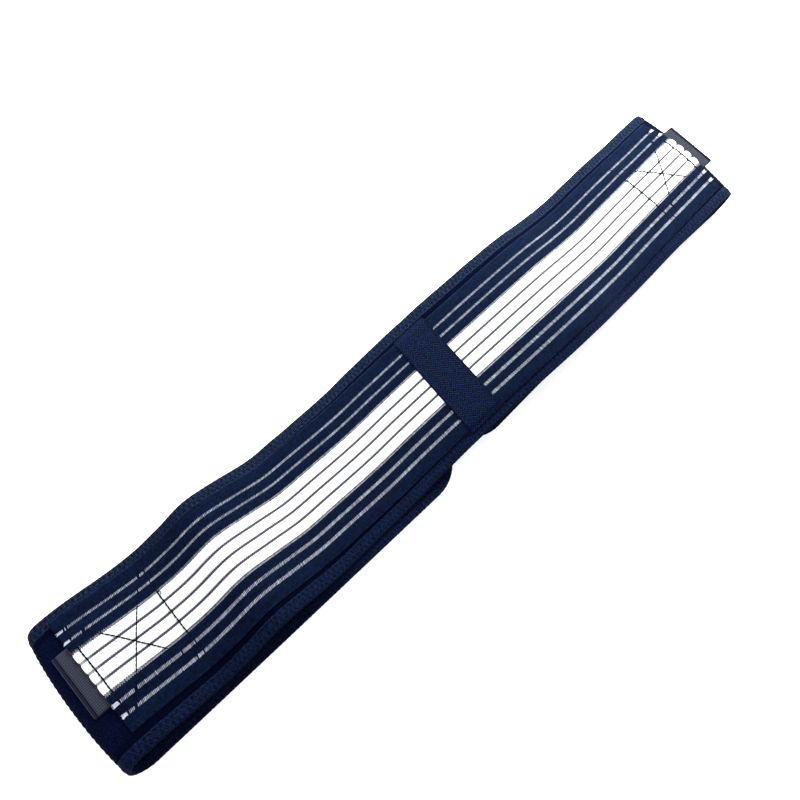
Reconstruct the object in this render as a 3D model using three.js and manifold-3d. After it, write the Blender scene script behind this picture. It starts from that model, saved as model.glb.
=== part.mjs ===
// Pelvic support belt, lying outer face up with both ends folded under.
// One long padded panel carries two striped elastic straps that are sewn down at
// the middle, a keeper tape across the sewing, a ribbed tab under each strap's end
// and a binding round the panel's whole edge.
// Millimetres. X runs along the folded belt, Y across it, Z up from the surface below.

import * as THREE from 'three';
import Module from 'manifold-3d';

// Panel
const BELT_WIDTH = 100;
const PANEL_THICKNESS = 3;
const TIP_RADIUS = 30;
const LEFT_TIP = -19.5;
const RIGHT_TIP = -14.5;

// Binding: a folded tape that grips the pressed rim of the panel
const BORDER_WIDTH = 8.3;
const BINDING_HEIGHT = 2.8;
const BINDING_WALL = 0.55;
const SEAM_GROOVE = 0.5;

// Elastic straps: ribs parted by narrow sunk lines of open weave
const STRAP_WIDTH = 81;
const STRAP_THICKNESS = 1.3;
const STRIPE_PITCH = 7.73;
const STRIPES_EACH_SIDE = 4;
const LINE_WIDTH = 2;
const LINE_DEPTH = 0.4;

// Keeper tape across the middle
const KEEPER_CENTRE = 9;
const KEEPER_WIDTH = 28;
const KEEPER_THICKNESS = 0.9;
const KEEPER_SLANT = 0.045;

// Ribbed tabs under the strap ends
const TAB_WIDTH = 43;
const TAB_THICKNESS = 1.2;
const TAB_RIB_PITCH = 3;
const TAB_RIB_HEIGHT = 0.25;

// Clearance kept between neighbouring pieces
const GAP = 0.3;

// Folds: how far each reaches from the middle, height of the panel's middle where it meets the
// upper layer, and slant of the fold across the belt, which fades out along both layers
const LEFT_FOLD = { reach: -292, height: 23, slant: -0.054 };
const RIGHT_FOLD = { reach: 289, height: 23.5, slant: 0.085 };
const SLANT_FADE = 90;
const FLAP_HEIGHT = PANEL_THICKNESS / 2;

// Mesh steps, and how far apart two points are that give the upper layer's slope
const STEPS_PER_WAVE_ROW = 3;
const KEEPER_STEP = 6;
const FLAP_STEP = 50;
const FOLD_STEPS = 8;
const TIP_STEPS = 6;
const SLOPE_REACH = 1;

// Waves of the upper layer between its folds: place along the belt, height of the
// panel's middle, and how far its centre line wanders aside
const UPPER_WAVES = [
  { along: -264, height: 21.2, aside: -1.0 },
  { along: -242, height: 16.8, aside: -1.4 },
  { along: -222, height: 14.4, aside: -1.8 },
  { along: -199, height: 18.2, aside: -1.6 },
  { along: -174, height: 24.0, aside: -0.7 },
  { along: -152, height: 16.2, aside: -0.8 },
  { along: -130, height: 7.4, aside: -0.9 },
  { along: -107, height: 5.8, aside: -0.3 },
  { along: -67, height: 5.6, aside: 0.6 },
  { along: -37, height: 9.0, aside: 1.8 },
  { along: 9, height: 18.3, aside: 1.8 },
  { along: 53, height: 26.8, aside: 0.3 },
  { along: 93, height: 30.6, aside: -0.8 },
  { along: 120, height: 27.4, aside: -0.3 },
  { along: 143, height: 20.2, aside: 1.2 },
  { along: 166, height: 16.4, aside: 2.4 },
  { along: 203, height: 18.2, aside: 4.3 },
  { along: 243, height: 20.2, aside: 5.6 },
];

// Flaps lying under the upper layer: how far each centre line stands aside where the fold
// leaves the upper layer, where the flap starts under it and at the tip
const LEFT_FLAP = { fold: -1, under: -5, tip: -5.6 };
const RIGHT_FLAP = { fold: 6.6, under: 6, tip: -0.6 };

// Straps: cut end along the belt, centre line aside of the panel's at the keeper and at the
// cut end, slant that the cut adds to the panel's, and the tab below it, which starts under
// the strap
const LEFT_STRAP = {
  name: 'elastic_strap_left',
  side: -1,
  end: -271.5,
  asideKeeper: -1.3,
  asideEnd: 4.5,
  slant: -0.021,
  tab: { name: 'end_tab_left', inner: -219, outer: -282, aside: 4 },
};
const RIGHT_STRAP = {
  name: 'elastic_strap_right',
  side: 1,
  end: 277.5,
  asideKeeper: -2.5,
  asideEnd: 1,
  slant: -0.01,
  tab: { name: 'end_tab_right', inner: 227, outer: 289, aside: 1 },
};
const TAB_RAMP = 16;

// Finishes
const PANEL_FABRIC = { color: 0x14161f, roughness: 0.95, metalness: 0 };
const BINDING_TAPE = { color: 0x171923, roughness: 0.9, metalness: 0 };
const STRAP_ELASTIC = { color: 0xd9dade, roughness: 0.8, metalness: 0 };
const KEEPER_TWILL = { color: 0x1b1d28, roughness: 0.85, metalness: 0 };
const TAB_WEBBING = { color: 0x2c2e36, roughness: 0.85, metalness: 0 };

const wasm = await Module();
wasm.setup();

// Folds: half circles between a flap and the upper layer
const leftFoldRadius = (LEFT_FOLD.height - FLAP_HEIGHT) / 2;
const rightFoldRadius = (RIGHT_FOLD.height - FLAP_HEIGHT) / 2;
const leftFoldCentre = LEFT_FOLD.reach + PANEL_THICKNESS / 2 + leftFoldRadius;
const rightFoldCentre = RIGHT_FOLD.reach - PANEL_THICKNESS / 2 - rightFoldRadius;

// Smooth wave through the rows, level where it meets the folds
const waveRows = [
  { along: leftFoldCentre, height: LEFT_FOLD.height, aside: LEFT_FLAP.fold },
  ...UPPER_WAVES,
  { along: rightFoldCentre, height: RIGHT_FOLD.height, aside: RIGHT_FLAP.fold },
];
const wave = new THREE.CubicInterpolant(
  Float64Array.from(waveRows, (row) => row.along),
  Float64Array.from(waveRows.flatMap((row) => [row.height, row.aside])),
  2,
);
wave.settings = { endingStart: THREE.ZeroSlopeEnding, endingEnd: THREE.ZeroSlopeEnding };

// Places along the upper layer where its mesh has a section
const upperPlaces = waveRows.slice(1).flatMap((row, i) => {
  const from = waveRows[i].along;
  return Array.from({ length: STEPS_PER_WAVE_ROW }, (_, k) => (
    from + ((row.along - from) * k) / STEPS_PER_WAVE_ROW
  ));
}).concat(rightFoldCentre);

// Slant of the belt's cross lines at a place along either layer
function slantAt(along) {
  const left = 1 - THREE.MathUtils.smoothstep(along - leftFoldCentre, 0, SLANT_FADE);
  const right = 1 - THREE.MathUtils.smoothstep(rightFoldCentre - along, 0, SLANT_FADE);
  return LEFT_FOLD.slant * left + RIGHT_FOLD.slant * right;
}

// Frame of the upper layer's middle at a place along it; past the folds it runs on level
function upperFrame(along) {
  const inside = THREE.MathUtils.clamp(along, leftFoldCentre, rightFoldCentre);
  const before = Math.max(inside - SLOPE_REACH / 2, leftFoldCentre);
  const after = Math.min(inside + SLOPE_REACH / 2, rightFoldCentre);
  const rise = wave.evaluate(after)[0] - wave.evaluate(before)[0];
  const [height, aside] = wave.evaluate(inside);
  const turn = inside === along ? Math.atan2(rise, after - before) : 0;
  return { x: along, z: height, aside, turn, slant: slantAt(along) };
}

// Point beside and above a frame: turn is the direction of travel, and height is along its normal
function pointOn(frame, across, above) {
  return new THREE.Vector3(
    frame.x + frame.slant * across - Math.sin(frame.turn) * above,
    frame.aside + across,
    frame.z + Math.cos(frame.turn) * above,
  );
}

function upperPoint(along, across, above) {
  return pointOn(upperFrame(along), across, above);
}

// Evenly stepped places from one value to another, both included
function steps(from, to, step) {
  const count = Math.max(1, Math.round(Math.abs(to - from) / step));
  return Array.from({ length: count + 1 }, (_, i) => from + ((to - from) * i) / count);
}

// Frames of a fold, turning from one direction of travel to the other
function foldFrames(centre, radius, startTurn, asideStart, asideEnd) {
  const frames = [];
  for (let i = 1; i < FOLD_STEPS; i += 1) {
    const part = i / FOLD_STEPS;
    const turn = startTurn - Math.PI * part;
    frames.push({
      x: centre - radius * Math.sin(turn),
      z: FLAP_HEIGHT + radius + radius * Math.cos(turn),
      aside: THREE.MathUtils.lerp(asideStart, asideEnd, THREE.MathUtils.smoothstep(part, 0, 1)),
      turn,
      slant: slantAt(centre),
    });
  }
  return frames;
}

// Frames of a flap from its rounded tip to its fold, with the half width at each
function flapFrames(tip, foldCentre, asides, turn, inset) {
  const radius = TIP_RADIUS - inset;
  const halfWidth = BELT_WIDTH / 2 - inset;
  const direction = Math.sign(foldCentre - tip);
  const spots = [];
  for (let i = 0; i <= TIP_STEPS; i += 1) {
    const angle = (Math.PI / 2) * (i / TIP_STEPS);
    spots.push({
      from: inset + radius * (1 - Math.cos(angle)),
      half: halfWidth - radius * (1 - Math.sin(angle)),
    });
  }
  const length = Math.abs(foldCentre - tip);
  for (const from of steps(TIP_RADIUS, length, FLAP_STEP).slice(1)) {
    spots.push({ from, half: halfWidth });
  }
  return spots.map(({ from, half }) => ({
    x: tip + direction * from,
    z: FLAP_HEIGHT,
    aside: THREE.MathUtils.lerp(asides.under, asides.tip, (1 - from / length) ** 2),
    turn,
    slant: slantAt(tip + direction * from),
    half,
  }));
}

// The whole panel's frames from the left tip, round both folds, to the right tip
function panelFrames(inset) {
  const half = BELT_WIDTH / 2 - inset;
  const leftFlap = flapFrames(LEFT_TIP, leftFoldCentre, LEFT_FLAP, Math.PI, inset);
  const leftFold = foldFrames(leftFoldCentre, leftFoldRadius, Math.PI, LEFT_FLAP.under, LEFT_FLAP.fold);
  const upper = upperPlaces.map(upperFrame);
  const rightFold = foldFrames(rightFoldCentre, rightFoldRadius, 0, RIGHT_FLAP.fold, RIGHT_FLAP.under);
  const rightFlap = flapFrames(RIGHT_TIP, rightFoldCentre, RIGHT_FLAP, -Math.PI, inset).reverse();
  return [
    ...leftFlap,
    ...[...leftFold, ...upper, ...rightFold].map((frame) => ({ ...frame, half })),
    ...rightFlap,
  ];
}

// Closed solid through like sections: place gives the point of a section's corner at a station.
// A ring joins its last station to its first, and any other loft is capped at both ends.
function loft(stations, section, place, ring = false) {
  const size = section.length;
  const positions = stations.flatMap((station) => (
    section.flatMap((corner) => place(station, corner).toArray())
  ));
  const triangles = [];
  const spans = ring ? stations.length : stations.length - 1;
  for (let s = 0; s < spans; s += 1) {
    for (let i = 0; i < size; i += 1) {
      const j = (i + 1) % size;
      const near = s * size;
      const far = ((s + 1) % stations.length) * size;
      triangles.push(near + i, near + j, far + j, near + i, far + j, far + i);
    }
  }
  const last = (stations.length - 1) * size;
  const caps = ring ? [] : THREE.ShapeUtils.triangulateShape(section, []);
  for (const [a, b, c] of caps) {
    triangles.push(a, c, b, last + a, last + b, last + c);
  }
  const geometry = new THREE.BufferGeometry();
  geometry.setAttribute('position', new THREE.Float32BufferAttribute(positions, 3));
  geometry.setIndex(triangles);
  return geometry;
}

function outline(corners) {
  return corners.map(([x, y]) => new THREE.Vector2(x, y));
}

// A sheet cut to the panel's outline less an inset, bent along the panel's middle
function panelSheet(inset, thickness) {
  const corners = outline([[-1, -1], [1, -1], [1, 1], [-1, 1]]);
  return loft(panelFrames(inset), corners, (frame, corner) => (
    pointOn(frame, corner.x * frame.half, corner.y * thickness / 2)
  ));
}

function toSolid(geometry) {
  return new wasm.Manifold(new wasm.Mesh({
    numProp: 3,
    vertProperties: new Float32Array(geometry.getAttribute('position').array),
    triVerts: new Uint32Array(geometry.getIndex().array),
  }));
}

function toGeometry(solid) {
  const mesh = solid.getMesh();
  const geometry = new THREE.BufferGeometry();
  geometry.setAttribute('position', new THREE.BufferAttribute(mesh.vertProperties, 3));
  geometry.setIndex(new THREE.BufferAttribute(mesh.triVerts, 1));
  return geometry;
}

function piece(name, geometry, finish) {
  geometry.computeVertexNormals();
  const mesh = new THREE.Mesh(geometry, new THREE.MeshStandardMaterial(finish));
  mesh.name = name;
  return mesh;
}

// Panel: full thickness inside the border, pressed thin where the binding grips it
function mainBelt() {
  const rimThickness = BINDING_HEIGHT - 2 * (BINDING_WALL + GAP);
  const rim = toSolid(panelSheet(BINDING_WALL + GAP, rimThickness));
  const field = toSolid(panelSheet(BORDER_WIDTH + SEAM_GROOVE, PANEL_THICKNESS));
  return piece('main_belt', toGeometry(rim.add(field)), PANEL_FABRIC);
}

// Binding: a U section that runs round the panel's edge, open towards the panel.
// Each corner of the section lies on the panel's outline less that corner's inset.
function edgeBinding() {
  const top = BINDING_HEIGHT / 2;
  const inner = top - BINDING_WALL;
  const section = outline([
    [BORDER_WIDTH, -top], [0, -top], [0, top], [BORDER_WIDTH, top],
    [BORDER_WIDTH, inner], [BINDING_WALL, inner], [BINDING_WALL, -inner], [BORDER_WIDTH, -inner],
  ]);
  const framesAt = new Map([0, BINDING_WALL, BORDER_WIDTH].map((inset) => [inset, panelFrames(inset)]));
  const count = framesAt.get(0).length;
  const stations = [
    ...Array.from({ length: count }, (_, index) => ({ index, side: 1 })),
    ...Array.from({ length: count }, (_, index) => ({ index: count - 1 - index, side: -1 })),
  ];
  const geometry = loft(stations, section, ({ index, side }, corner) => {
    const frame = framesAt.get(corner.x)[index];
    return pointOn(frame, side * frame.half, corner.y);
  }, true);
  return piece('edge_binding', geometry, BINDING_TAPE);
}

// Strap section, seen along the belt: flat below, ribbed above
function strapSection() {
  const half = STRAP_WIDTH / 2;
  const corners = [[-half, 0], [half, 0], [half, STRAP_THICKNESS]];
  for (let line = STRIPES_EACH_SIDE; line >= -STRIPES_EACH_SIDE; line -= 1) {
    const centre = line * STRIPE_PITCH;
    const rim = LINE_WIDTH / 2;
    corners.push([centre + rim, STRAP_THICKNESS]);
    corners.push([centre, STRAP_THICKNESS - LINE_DEPTH]);
    corners.push([centre - rim, STRAP_THICKNESS]);
  }
  corners.push([-half, STRAP_THICKNESS]);
  return outline(corners);
}

// How far a strap has climbed onto its tab at a place along it, from 0 to 1
function strapClimb(strap, along) {
  const beforeTab = strap.side * (strap.tab.inner - along);
  return 1 - THREE.MathUtils.smoothstep(beforeTab, GAP, TAB_RAMP);
}

// Strap from the keeper's middle to its cut end, which slants where it lies on the tab
function elasticStrap(strap) {
  const inner = KEEPER_CENTRE + strap.side * GAP;
  const low = Math.min(inner, strap.end);
  const high = Math.max(inner, strap.end);
  const between = upperPlaces.filter((along) => along > low + GAP && along < high - GAP);
  const geometry = loft([low, ...between, high], strapSection(), (along, corner) => {
    const part = (along - inner) / (strap.end - inner);
    const aside = THREE.MathUtils.lerp(strap.asideKeeper, strap.asideEnd, part);
    const climb = strapClimb(strap, along);
    const onTab = (along - strap.tab.inner) / (strap.end - strap.tab.inner);
    const slant = strap.slant * THREE.MathUtils.smoothstep(onTab, 0, 1);
    const lift = PANEL_THICKNESS / 2 + GAP + climb * (TAB_THICKNESS + TAB_RIB_HEIGHT + GAP);
    return upperPoint(along + slant * corner.x, aside + corner.x, lift + corner.y);
  });
  return piece(strap.name, geometry, STRAP_ELASTIC);
}

// Tab: ribs run across the belt, so each place along it is a crest or a furrow
function endTab(strap) {
  const { tab } = strap;
  const half = TAB_WIDTH / 2;
  const corners = outline([[-half, 0], [half, 0], [half, 1], [-half, 1]]);
  const places = steps(tab.inner, tab.outer, TAB_RIB_PITCH / 2).sort((a, b) => a - b);
  const stations = places.map((along, index) => ({
    along,
    thickness: TAB_THICKNESS + (index % 2) * TAB_RIB_HEIGHT,
  }));
  const geometry = loft(stations, corners, (station, corner) => upperPoint(
    station.along + strap.slant * corner.x,
    tab.aside + corner.x,
    PANEL_THICKNESS / 2 + GAP + corner.y * station.thickness,
  ));
  return piece(tab.name, geometry, TAB_WEBBING);
}

// Keeper: a bridge over both straps whose ends turn down to the border's seam
function centreKeeper() {
  const foot = PANEL_THICKNESS / 2 + GAP;
  const soffit = foot + STRAP_THICKNESS + GAP;
  const crown = soffit + KEEPER_THICKNESS;
  const halfStrap = STRAP_WIDTH / 2 + GAP;
  const left = Math.min(LEFT_STRAP.asideKeeper, RIGHT_STRAP.asideKeeper) - halfStrap;
  const right = Math.max(LEFT_STRAP.asideKeeper, RIGHT_STRAP.asideKeeper) + halfStrap;
  const corners = outline([
    [left - KEEPER_THICKNESS, foot], [left, foot], [left, soffit], [right, soffit],
    [right, foot], [right + KEEPER_THICKNESS, foot], [right + KEEPER_THICKNESS, crown],
    [left - KEEPER_THICKNESS, crown],
  ]);
  const places = steps(KEEPER_CENTRE - KEEPER_WIDTH / 2, KEEPER_CENTRE + KEEPER_WIDTH / 2, KEEPER_STEP);
  const geometry = loft(places, corners, (along, corner) => (
    upperPoint(along + KEEPER_SLANT * corner.x, corner.x, corner.y)
  ));
  return piece('center_keeper', geometry, KEEPER_TWILL);
}

const belt = new THREE.Group();
belt.name = 'pelvic_support_belt';
belt.add(mainBelt(), edgeBinding(), centreKeeper());
for (const strap of [LEFT_STRAP, RIGHT_STRAP]) {
  belt.add(elasticStrap(strap), endTab(strap));
}

export default belt;
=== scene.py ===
"""Looks of the pelvic support belt: cloth, straps, tabs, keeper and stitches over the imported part.

Lengths are in millimetres until a mesh is made. Along runs down the belt (+X), across runs over its
width (+Y), and above is measured out of the outer face from the middle of the sheet.
"""

import math
from collections import namedtuple

import bpy
import numpy as np
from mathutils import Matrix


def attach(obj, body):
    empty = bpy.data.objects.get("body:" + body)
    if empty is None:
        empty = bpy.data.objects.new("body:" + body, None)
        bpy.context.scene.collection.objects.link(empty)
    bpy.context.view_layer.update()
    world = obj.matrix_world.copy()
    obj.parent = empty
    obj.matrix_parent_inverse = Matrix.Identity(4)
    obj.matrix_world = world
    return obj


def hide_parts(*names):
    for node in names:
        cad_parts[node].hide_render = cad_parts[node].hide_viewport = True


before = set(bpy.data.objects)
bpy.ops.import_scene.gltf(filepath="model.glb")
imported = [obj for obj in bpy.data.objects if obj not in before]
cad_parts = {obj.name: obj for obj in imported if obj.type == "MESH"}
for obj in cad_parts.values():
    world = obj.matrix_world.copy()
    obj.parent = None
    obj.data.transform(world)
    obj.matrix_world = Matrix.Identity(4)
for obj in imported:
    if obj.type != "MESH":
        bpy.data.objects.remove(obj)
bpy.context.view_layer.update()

MM = 0.001

# Belt panel and its stitched border
BELT_WIDTH = 100.0
HALF_BELT = BELT_WIDTH / 2
PANEL_THICKNESS = 3.0
HALF_PANEL = PANEL_THICKNESS / 2
TIP_RADIUS = 30.0
LEFT_TIP = -19.5
RIGHT_TIP = -14.5
BORDER_WIDTH = 8.3
BORDER_HALF_HEIGHT = 1.4
BORDER_WALL = 0.6
# Offset that keeps the border's second weave coordinate apart on its two edges, and the length over
# which the painted shade on the -Y edge fades near the right fold
SHADE_SIDE_OFFSET = 3.0
LOW_EDGE_SHADE_FADE = 80.0
FIELD_INSET = 9.6
PILE_RIB_PITCH = 4.0
PILE_RIB_DEPTH = 0.3
# Painted shade darkens the pile's rim beside the border: it comes in over the fade and is full from the
# rim's distance to the middle outward
PILE_SHADE_RIM = 38.5
PILE_SHADE_RIM_FADE = 2.5

# Folds: where each one reaches to, the height of its upper layer, how it lies askew and how far its
# edges are bowed back. A higher curve keeps the bow nearer to the edges
Fold = namedtuple("Fold", "reach height slant bow curve")
LEFT_FOLD = Fold(-294.0, 23.0, -0.050, 2.9, 2.0)
RIGHT_FOLD = Fold(291.0, 23.5, 0.085, -3.9, 1.3)
LEFT_RADIUS = (LEFT_FOLD.height - HALF_PANEL) / 2
RIGHT_RADIUS = (RIGHT_FOLD.height - HALF_PANEL) / 2
LEFT_CENTRE = LEFT_FOLD.reach + HALF_PANEL + LEFT_RADIUS
RIGHT_CENTRE = RIGHT_FOLD.reach - HALF_PANEL - RIGHT_RADIUS
SWAY_FADE = 90.0

# How far aside each flap lies: at its fold, under the fold and at its tip
Flap = namedtuple("Flap", "fold under tip")
LEFT_FLAP = Flap(-1.0, -6.4, -5.8)
RIGHT_FLAP = Flap(7.2, 7.6, -0.4)

# Waves of the upper layer. Columns: along, height of its middle, aside
UPPER_WAVES = (
    (-264, 21.2, -1.0),
    (-242, 16.8, -1.4),
    (-222, 14.4, -1.8),
    (-199, 18.2, -1.6),
    (-174, 24.0, -0.7),
    (-152, 16.2, -0.8),
    (-130, 7.4, -0.9),
    (-107, 5.8, -0.3),
    (-67, 5.6, 0.6),
    (-37, 9.0, 1.8),
    (9, 18.3, 1.8),
    (53, 26.8, 0.3),
    (93, 30.6, -0.4),
    (120, 27.4, 0.3),
    (143, 20.2, 1.8),
    (166, 16.4, 3.0),
    (203, 18.2, 4.9),
    (243, 20.2, 6.2),
)

# Droop and small ripples of the upper layer's edges. Columns: wave length along, height, phase
EDGE_DROOP = 0.9
EDGE_CURVE = 4
EDGE_RIPPLES = (
    (23.0, 0.12, 0.4),
    (37.0, 0.18, 2.1),
    (61.0, 0.20, 4.0),
)

# Striped elastic straps
STRAP_WIDTH = 81.0
HALF_STRAP = STRAP_WIDTH / 2
STRAP_THICKNESS = 1.3
STRAP_LIFT = 1.8
STRIPE_PITCH = 7.73
STRIPES_EACH_SIDE = 4
GROOVE_DEPTH = 0.4
GROOVE_FLOOR = 0.35
GROOVE_REACH = 1.3
RIB_CROWN = 0.3
RAIL_OFFSET = 0.72
RAIL_HEIGHT = 0.18
RAIL_SPREAD = 0.3
WHITE_HALF = 2 * STRIPE_PITCH
STRAP_SELVAGE = 0.7
STRAP_SELVAGE_DROP = 0.75
STRAP_GAP = 0.15
SCALLOP_LENGTH = 4.0
SCALLOP_ROUND = 0.7
NAVY_SCALLOP = 0.4

# Keeper tape across the middle
KEEPER_CENTRE = 9.8
KEEPER_WIDTH = 27.4
HALF_KEEPER = KEEPER_WIDTH / 2
KEEPER_THICKNESS = 0.9
KEEPER_SLANT = 0.065
KEEPER_LIFT = 3.4
KEEPER_END_LIFT = 1.75
KEEPER_RAMP = (0.5, 5.0)
KEEPER_LOW = -44.2
KEEPER_HIGH = 40.6
KEEPER_WELT = 0.16
KEEPER_WELT_INSET = 0.9
KEEPER_WELT_SPREAD = 0.5
KEEPER_EDGE = 0.6
KEEPER_EDGE_DROP = 0.55

# Ribbed tabs under the strap ends
TAB_WIDTH = 43.0
HALF_TAB = TAB_WIDTH / 2
TAB_THICKNESS = 1.2
TAB_RIB_PITCH = 1.15
TAB_RIB_HEIGHT = 0.25
TAB_HEM_INSET = 1.7
TAB_HEM_SPREAD = 0.45
TAB_HEM_DEPTH = 0.7
TAB_SELVAGE = 0.8
TAB_SELVAGE_DROP = 0.6
TAB_LIFT = 1.75
TAB_RAMP = 16.0
TAB_RAMP_END = 0.3
TAB_SIDE_RAMP = 8.0

# Each strap with its tab. aside is a shift to +Y. slant, bow and scallop shape the cut end. near and far
# place the stitched box from there, and cross_slip shortens one line of its cross. thread is a radius
Strap = namedtuple(
    "Strap",
    "side end aside_keeper aside_end slant bow scallop tab_inner tab_outer tab_aside"
    " near far cross_slip thread",
)
LEFT_STRAP = Strap(
    side=-1, end=-271.5, aside_keeper=-1.7, aside_end=4.1, slant=-0.023, bow=-4.3, scallop=0.35,
    tab_inner=-219.0, tab_outer=-282.0, tab_aside=4.0, near=4.0, far=53.0, cross_slip=4.5, thread=0.48,
)
RIGHT_STRAP = Strap(
    side=1, end=277.5, aside_keeper=-3.1, aside_end=-0.3, slant=-0.010, bow=0.0, scallop=0.9,
    tab_inner=227.0, tab_outer=289.0, tab_aside=1.0, near=4.0, far=52.5, cross_slip=0.0, thread=0.56,
)

# Yarn floats of the grey stripes. Those of the low stripes, on the -Y side, are longer and lighter
GREY_STRIPES = (-4, -3, 3, 4)
YARN_PITCH = 0.85
YARN_STEPS = 5
LOW_YARN_REACH = 1.08
HIGH_YARN_REACH = 0.84
YARN_REACH_SPREAD = 0.07
LOW_YARN_TONE = 0.27
HIGH_YARN_TONE = 0.16
YARN_TONE_SPREAD = 0.17
YARN_LEAN = 0.28
YARN_LEAN_SPREAD = 0.25
YARN_RADIUS = 0.29
YARN_ARCH = 0.22
YARN_GAP = 0.5
LOOSE_YARN_SPAN = (1.0, 5.0)
LOOSE_YARN_TONE = 0.8
LEFT_YARN_SEED = 11
RIGHT_YARN_SEED = 12

# Brush of yarn ends at the cut
YARN_END_COUNT = 6
YARN_END_LENGTH = 3.3
YARN_END_OVER = 0.1
YARN_END_OVER_SPREAD = 0.4
YARN_END_REACH = 0.88
YARN_END_SPREAD = 0.2
YARN_END_START = 0.8
YARN_END_FAN = 0.3
YARN_END_LIFT = 0.2
YARN_END_RADIUS = 0.23
YARN_END_TONE = 0.85
YARN_END_TONE_SPREAD = 0.35
YARN_END_DARKEST = 0.2

# Stitches
BOX_HIGH = 33.5
BOX_LOW = -38.0
CROSS_HALF = 31.0
STITCH_LENGTH = 3.0
STITCH_STEPS = 7
STITCH_ARCH = 0.36
STITCH_BITE = 0.06
CROSS_SHARE = 0.85
STITCH_SINK = 0.6
STITCH_SINK_FADE = 1.5
LOOP_RADIUS = 0.9
LOOP_GROWTH = 0.25
LOOP_TURN = 1.6 * math.pi
LOOP_PARTS = 3
LOOP_LIFT = 0.3
LOOP_SHARE = 0.55
ZIGZAG_PITCH = 3.4
ZIGZAG_INNER = 6.4
ZIGZAG_OUTER = 2.4
ZIGZAG_MIDDLE = (ZIGZAG_INNER + ZIGZAG_OUTER) / 2
ZIGZAG_SLOPE = 2 * (ZIGZAG_INNER - ZIGZAG_OUTER) / ZIGZAG_PITCH
ZIGZAG_HEIGHT = 1.34
ZIGZAG_ARCH = 0.30
ZIGZAG_BITE = 0.12
ZIGZAG_THREAD = 0.17
ZIGZAG_STEPS = 5
DIMPLE_DEPTH = 0.34
DIMPLE_SPREAD = 0.9
BORDER_SCALLOP = 0.08
BORDER_SCALLOP_REACH = 1.5
THREAD_SIDES = 6
THREAD_TAPER = 0.55

# Mesh steps
UPPER_STEP = 1.2
FLAP_STEP = 1.6
FOLD_STEPS = 30
TIP_STEPS = 36
STRAP_STEP = 1.4
PILE_STEP = PILE_RIB_PITCH / 2
TAB_STEP = TAB_RIB_PITCH / 4
TAB_COLUMNS = 45
KEEPER_ROWS = 121
KEEPER_COLUMNS = 57
SHARP_ANGLE = 50.0


def smooth(value, low, high):
    """0 up to low and 1 from high on, with a soft step between."""
    share = np.clip((value - low) / (high - low), 0.0, 1.0)
    return share * share * (3 - 2 * share)


def mix(start, end, share):
    return start + (end - start) * share


def hump(value, middle, spread):
    """1 at the middle, falling off to both sides."""
    return np.exp(-(((value - middle) / spread) ** 2))


def thinned(across, half, edge, drop):
    """Share of a tape's thickness that is left at each place, less near its edges."""
    return 1 - drop * smooth(np.abs(across), half - edge, half) ** 2


def through_rows(places, values, at):
    """A smooth curve through rows.

    Its slope at a row between two others is the mean of the straight runs beside it.
    """
    runs = np.diff(values) / np.diff(places)
    slopes = np.concatenate([[0.0], (runs[1:] + runs[:-1]) / 2, [runs[-1] / 2]])
    at = np.clip(at, places[0], places[-1])
    row = np.clip(np.searchsorted(places, at) - 1, 0, len(places) - 2)
    span = places[row + 1] - places[row]
    part = (at - places[row]) / span
    start = (2 * part**3 - 3 * part**2 + 1) * values[row]
    leave = (part**3 - 2 * part**2 + part) * span * slopes[row]
    end = (3 * part**2 - 2 * part**3) * values[row + 1]
    arrive = (part**3 - part**2) * span * slopes[row + 1]
    return start + leave + end + arrive


WAVE_ROWS = np.array(
    [
        (LEFT_CENTRE, LEFT_FOLD.height, LEFT_FLAP.fold),
        *UPPER_WAVES,
        (RIGHT_CENTRE, RIGHT_FOLD.height, RIGHT_FLAP.fold),
    ]
)

# Where the middle of the sheet is at each station, and how far it has turned from lying face up
Frames = namedtuple("Frames", "x z aside turn")


def height_at(along):
    return through_rows(WAVE_ROWS[:, 0], WAVE_ROWS[:, 1], along)


def upper_frames(along):
    """Frames of the upper layer. Past the folds it runs on level."""
    rise = height_at(along + 1) - height_at(along - 1)
    aside = through_rows(WAVE_ROWS[:, 0], WAVE_ROWS[:, 2], along)
    return Frames(along, height_at(along), aside, np.arctan2(rise, 2.0))


def fold_frames(centre, radius, start_turn, aside_start, aside_end):
    part = np.linspace(0.0, 1.0, FOLD_STEPS, endpoint=False)
    turn = start_turn - math.pi * part
    x = centre - radius * np.sin(turn)
    z = HALF_PANEL + radius + radius * np.cos(turn)
    return Frames(x, z, mix(aside_start, aside_end, smooth(part, 0.0, 1.0)), turn)


def flap_frames(tip, centre, flap, turn, inset):
    """Frames of a flap from its rounded tip to its fold, and the half width at each one."""
    length = abs(centre - tip)
    angle = np.linspace(0.0, math.pi / 2, TIP_STEPS, endpoint=False)
    radius = TIP_RADIUS - inset
    straight = np.linspace(TIP_RADIUS, length, round(length / FLAP_STEP), endpoint=False)
    from_tip = np.concatenate([inset + radius * (1 - np.cos(angle)), straight])
    full = HALF_BELT - inset
    half = np.concatenate([full - radius * (1 - np.sin(angle)), np.full(len(straight), full)])
    x = tip + np.sign(centre - tip) * from_tip
    aside = mix(flap.under, flap.tip, (1 - from_tip / length) ** 2)
    level = np.full(len(x), HALF_PANEL)
    return Frames(x, level, aside, np.full(len(x), turn)), half


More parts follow.
